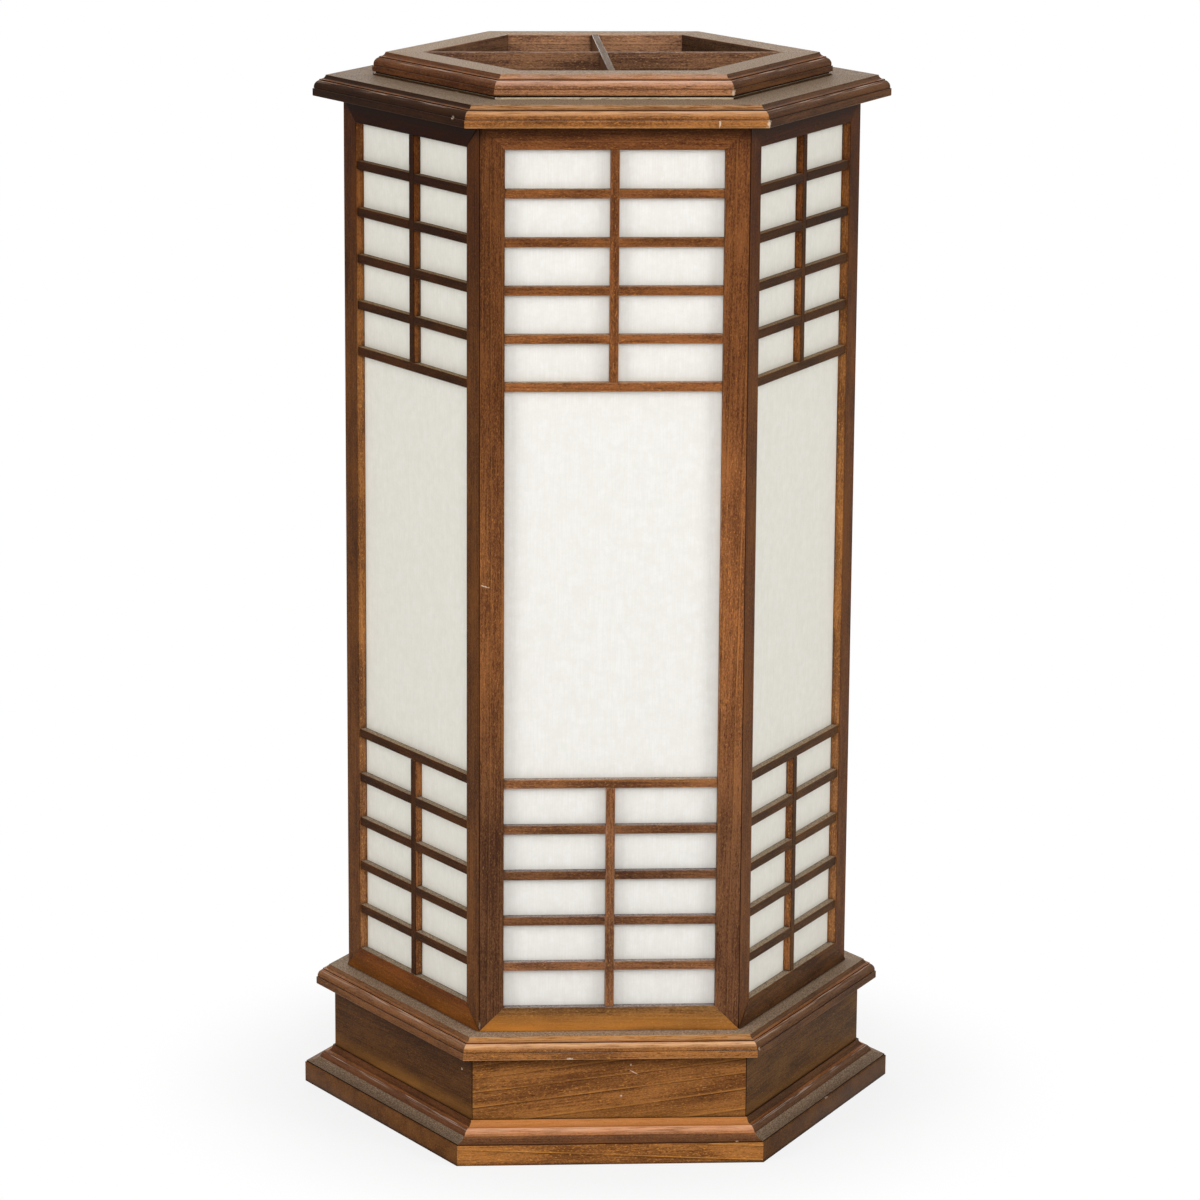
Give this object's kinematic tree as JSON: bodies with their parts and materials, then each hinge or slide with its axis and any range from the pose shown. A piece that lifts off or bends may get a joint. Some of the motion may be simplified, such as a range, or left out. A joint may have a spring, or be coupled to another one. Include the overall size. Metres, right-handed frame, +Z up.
{
  "type": "table lamp",
  "caption": "Hexagonal table lamp: wooden lattice panels backed with paper stand on a moulded plinth under a moulded crown, with a lift-off grille over the bulb.",
  "frame": {"origin": "centre of the underside of the bottom board, on the surface that the lamp stands on", "axes": "+Z up the lamp's axis, the front panel faces -Y, two corners of the hexagon lie on the X axis"},
  "size_m": [0.3032, 0.2626, 0.5346],
  "materials": {
    "frame_wood": "walnut-brown stain under satin varnish",
    "lattice_wood": "walnut-brown stain under satin varnish",
    "moulding_wood": "walnut-brown stain, satin, worn on the arrises",
    "base_wood": "walnut-brown stain under satin varnish",
    "pale_wood": "raw pale strip edge",
    "plywood": "unfinished plywood",
    "paper": "fibrous white paper, matt",
    "steel": "zinc plated",
    "brass": "lacquered, a little dull",
    "porcelain": "white glaze",
    "cap_metal": "bare metal",
    "bulb_plastic": "white moulded housing",
    "bulb_diffuser": "opal diffuser",
    "bush_plastic": "dark brown, matt"
  },
  "bodies": {
    "lamp": {"stile_left_front": "frame_wood", "stile_right_front": "frame_wood", "rail_top_front": "frame_wood", "rail_bottom_front": "frame_wood", "lattice_front": "lattice_wood", "paper_front": "paper", "stile_left_front_right": "frame_wood", "stile_right_front_right": "frame_wood", "rail_top_front_right": "frame_wood", "rail_bottom_front_right": "frame_wood", "lattice_front_right": "lattice_wood", "paper_front_right": "paper", "stile_left_back_right": "frame_wood", "stile_right_back_right": "frame_wood", "rail_top_back_right": "frame_wood", "rail_bottom_back_right": "frame_wood", "lattice_back_right": "lattice_wood", "paper_back_right": "paper", "stile_left_back": "frame_wood", "stile_right_back": "frame_wood", "rail_top_back": "frame_wood", "rail_bottom_back": "frame_wood", "lattice_back": "lattice_wood", "paper_back": "paper", "stile_left_back_left": "frame_wood", "stile_right_back_left": "frame_wood", "rail_top_back_left": "frame_wood", "rail_bottom_back_left": "frame_wood", "lattice_back_left": "lattice_wood", "paper_back_left": "paper", "stile_left_front_left": "frame_wood", "stile_right_front_left": "frame_wood", "rail_top_front_left": "frame_wood", "rail_bottom_front_left": "frame_wood", "lattice_front_left": "lattice_wood", "paper_front_left": "paper", "bottom_board": "base_wood", "plinth_boards": "base_wood", "foot_moulding": "moulding_wood", "base_cap": "moulding_wood", "crown": "moulding_wood", "seat_strips": "pale_wood", "socket_board": "plywood", "socket_board_screws": "steel", "bottom_screws": "steel", "nipple": "steel", "nipple_washer": "steel", "nipple_nut": "steel", "lampholder_cap": "brass", "lampholder_shell": "brass", "lampholder_thread": "brass", "lampholder_contact": "brass", "lampholder_core": "porcelain", "cord_bush": "bush_plastic"},
    "grille": {"grille_ring": "moulding_wood", "grille_slat_long": "lattice_wood", "grille_slat_cross": "lattice_wood"},
    "bulb": {"bulb_cap": "cap_metal", "bulb_body": "bulb_plastic", "bulb_dome": "bulb_diffuser"}
  },
  "joints": [
    {"name": "grille_lift", "type": "slide", "parent": "lamp", "child": "grille", "axis": [0, 0, 1], "range_m": [0, 0.06]},
    {"name": "bulb_turn", "type": "hinge", "parent": "lamp", "child": "bulb", "pos_m": [0, 0, 0.0914], "axis": [0, 0, 1], "range_deg": [0, 1080]}
  ]
}
